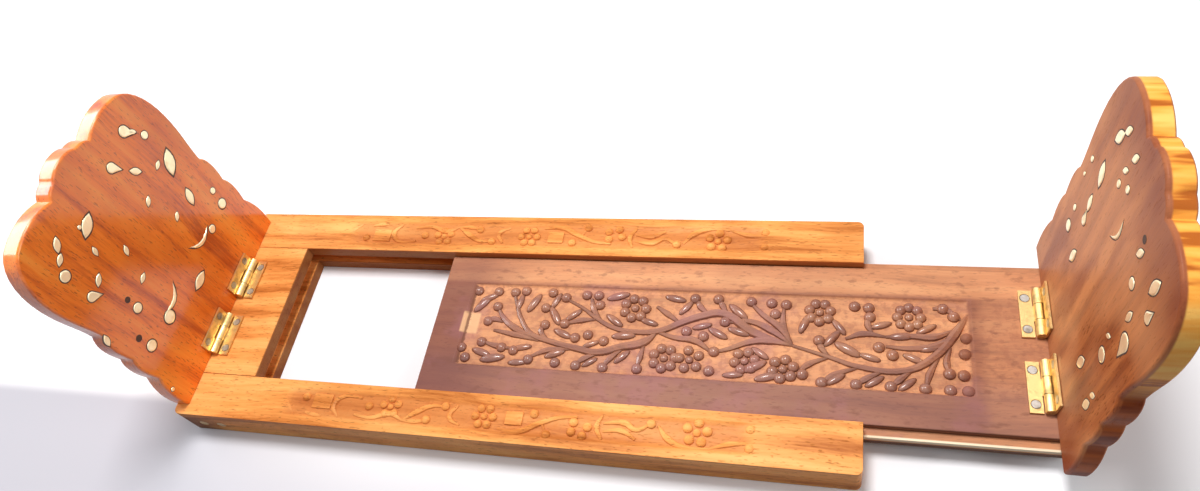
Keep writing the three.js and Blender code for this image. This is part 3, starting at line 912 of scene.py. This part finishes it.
def inlay_piece(name, side, kind, across, up, turn, size, grow=1, rise=INLAY_RISE, domed=True):
    """One inlay on its panel. Across and up are fractions of the half width and the height."""
    spec = PANELS[side]
    piece = flat_curve(name, inlay_outline(kind, size))
    piece.data.resolution_u = 5 if kind == "dot" else 6
    piece.data.extrude = INLAY_DEEP / 2
    pick(piece)
    bpy.ops.object.convert(target="MESH")
    bpy.ops.object.mode_set(mode="EDIT")
    bpy.ops.mesh.select_all(action="SELECT")
    bpy.ops.mesh.remove_doubles(threshold=CURVE_WELD)
    bpy.ops.mesh.dissolve_limited(angle_limit=math.radians(1))
    bpy.ops.mesh.select_all(action="DESELECT")
    bpy.ops.mesh.select_mode(type="FACE")
    bpy.ops.object.mode_set(mode="OBJECT")
    for face in piece.data.polygons:
        face.select = face.normal.z > 0.9
    bpy.ops.object.mode_set(mode="EDIT")
    if domed:
        for step in (0.6, 0.3, 0.1):
            bpy.ops.mesh.inset(thickness=INLAY_ROUND * min(size, 1.2), depth=rise * step,
                               use_even_offset=kind != "pear")
    else:
        bpy.ops.transform.translate(value=(0, 0, rise))
    bpy.ops.mesh.select_all(action="SELECT")
    bpy.ops.mesh.normals_make_consistent(inside=False)
    bpy.ops.object.mode_set(mode="OBJECT")
    where = Matrix.Translation((-INLAY_DEEP / 2, across * spec["half"] * MM,
                                up * spec["height"] * MM + FOOT_RISE))
    piece.data.transform(panel_frame(side) @ where @ Matrix.Rotation(math.radians(turn), 4, "X") @ STAND_UP
                         @ Matrix.Diagonal((grow, grow, 1, 1)))
    return piece


def metal(name, colour, dull, roughness, mottle, metallic=1.0):
    """Rubbed or aged metal with tarnish in soft patches and fine scratches."""
    material, shader, place = new_material(name)
    tarnish = place.noise(220, detail=4).between(0.45, 0.7)
    scratch = place.stretched((1, 0.12, 1)).noise(3200, detail=2)
    feed(shader, "Base Color", place.plain(colour).mix(dull, tarnish * mottle))
    feed(shader, "Roughness", roughness + 0.2 * tarnish + 0.1 * (scratch - 0.5))
    shader.inputs["Metallic"].default_value = metallic
    feed(shader, "Normal", bump(scratch * 0.4 + tarnish * 0.3, 0.25, 0.1 * MM))
    return material


inlay_brass = metal("inlay_brass", (1.0, 0.86, 0.56), (0.72, 0.5, 0.25), 0.32, mottle=0.35,
                    metallic=0.65)
filler, filler_shader, place = new_material("dark_filler")
grit = place.noise(1500, detail=2)
feed(filler_shader, "Base Color", grit.ramp([(0.3, (0.035, 0.016, 0.01)), (0.7, (0.1, 0.045, 0.028))]))
feed(filler_shader, "Roughness", 0.6 + 0.2 * grit)
feed(filler_shader, "Normal", bump(grit, 0.3, 0.1 * MM))

# The pieces that have a solid of their own: name, across and up, turn in degrees, and size
INLAYS = {
    "left": [
        ("dot_1", -0.7, 0.765, 0, 1.05), ("petal_2", -0.27, 0.79, 25, 1.35),
        ("pear_3", -0.71, 0.635, -48, 0.95), ("dot_4", -0.565, 0.44, 0, 1),
        ("dot_5", -0.76, 0.302, 0, 1.15), ("crescent_6", -0.32, 0.31, 14, 1),
        ("crescent_7", 0.3, 0.312, -14, 1), ("dot_8", 0.742, 0.3, 0, 1.1),
        ("petal_9", 0.555, 0.463, 67, 1.15), ("petal_10", 0.665, 0.621, 53, 1.6),
        ("pear_11", 0.245, 0.822, -59, 1), ("pear_12", 0.568, 0.854, -57, 1.1),
    ],
    "right": [
        ("petal_1", -0.584, 0.806, 65, 1.1), ("petal_2", -0.57, 0.65, -64, 1.25),
        ("pear_3", -0.49, 0.47, 111, 0.8), ("dot_4", -0.66, 0.341, 0, 1),
        ("petal_5", -0.388, 0.34, 80, 1.05), ("petal_6", 0.411, 0.276, 75, 1.1),
        ("dot_7", 0.55, 0.443, 0, 1.15), ("pear_8", 0.657, 0.605, -80, 1.3),
        ("pear_9", 0.686, 0.759, 80, 0.85), ("petal_10", 0.58, 0.828, 80, 1.1),
    ],
}
# Smaller ones: kind, across and up, turn in degrees, and size
SMALL_INLAYS = {
    "left": [
        ("petal", -0.62, 0.813, 25, 0.7), ("petal", -0.54, 0.85, 45, 0.85),
        ("petal", -0.57, 0.645, 30, 0.75), ("petal", -0.398, 0.713, 70, 0.6),
        ("petal", -0.229, 0.603, 60, 0.65), ("petal", -0.329, 0.482, 15, 0.65),
        ("petal", -0.935, 0.494, 65, 0.75), ("petal", -0.01, 0.228, 5, 1.3),
        ("petal", 0.319, 0.473, 35, 0.6), ("petal", 0.241, 0.621, 35, 0.65),
        ("petal", 0.62, 0.825, -50, 0.6), ("dot", 0.682, 0.774, 0, 0.8),
        ("petal", 0.371, 0.731, -55, 0.85), ("petal", 0.56, 0.662, 20, 0.6),
        ("dot", 0.77, 0.374, 0, 0.7), ("dot", -0.975, 0.113, 0, 0.45),
        ("dot", -0.46, 0.285, 0, 1.35), ("dot", 0.47, 0.288, 0, 0.9), ("dot", -0.32, 0.812, 0, 0.4),
    ],
    "right": [
        ("petal", -0.516, 0.863, 60, 0.8), ("dot", -0.788, 0.607, 0, 0.5),
        ("dot", -0.794, 0.534, 0, 0.35), ("petal", -0.284, 0.867, 60, 0.75),
        ("petal", -0.319, 0.8, 50, 0.6), ("dot", -0.314, 0.746, 0, 0.6), ("dot", -0.187, 0.79, 0, 0.6),
        ("dot", -0.696, 0.417, 0, 0.55), ("petal", -0.53, 0.535, 110, 0.9),
        ("crescent", -0.03, 0.68, 80, 0.75), ("petal", 0.286, 0.789, 65, 0.75),
        ("dot", 0.384, 0.711, 0, 0.85), ("petal", 0.547, 0.66, 85, 0.75),
        ("petal", 0.494, 0.51, 50, 0.5), ("petal", 0.727, 0.27, 75, 0.95),
        ("petal", 0.724, 0.33, 60, 0.6),
    ],
}
# Pockets that have lost their brass and show filler: across and up, and size
PITS = {
    "left": [(-0.561, 0.497, 0.62), (-0.772, 0.372, 0.7), (-0.31, 0.8, 0.7)],
    "right": [(0.246, 0.826, 0.6)],
}
for side in ("left", "right"):
    body = f"{side}_panel"
    rims = []
    for name, across, up, turn, size in INLAYS[side]:
        kind = name.split("_")[0]
        node = f"{side}_inlay_{name}"
        brass = inlay_piece(node + "_brass", side, kind, across, up, turn, size)
        finished(brass, node, body, inlay_brass, smooth=60)
        rims.append(inlay_piece("rim", side, kind, across, up, turn, size, grow=FILLER_GROWTH,
                                rise=FILLER_RISE, domed=False))
    small = []
    for kind, across, up, turn, size in SMALL_INLAYS[side]:
        small.append(inlay_piece("small", side, kind, across, up, turn, size))
        rims.append(inlay_piece("rim", side, kind, across, up, turn, size, grow=FILLER_GROWTH,
                                rise=FILLER_RISE, domed=False))
    for across, up, size in PITS[side]:
        rims.append(inlay_piece("pit", side, "dot", across, up, 0, size, rise=PIT_RISE, domed=False))
    few = joined(small[0], small[1:])
    few.name = f"{side}_small_inlays"
    finished(few, None, body, inlay_brass, smooth=60)
    edges = joined(rims[0], rims[1:])
    edges.name = f"{side}_inlay_filler"
    finished(edges, None, body, filler, smooth=60)

# ---------------------------------------------------------------------------------------------
# Hinges. Two rolled brass butts at each end, three knuckles on a fixed pin, let lie on the
# wood and held by countersunk steel screws; the brass has dulled to a brownish yellow.
hinge_brass = metal("hinge_brass", (0.76, 0.53, 0.23), (0.28, 0.19, 0.08), 0.36, mottle=0.6)
screw_steel = metal("screw_steel", (0.42, 0.4, 0.37), (0.16, 0.12, 0.08), 0.42, mottle=0.7)
for node, piece in frame["nodes"].items():
    if "_hinge_" in node:
        piece.data.materials.clear()
        piece.data.materials.append(screw_steel if "_screw" in node else hinge_brass)
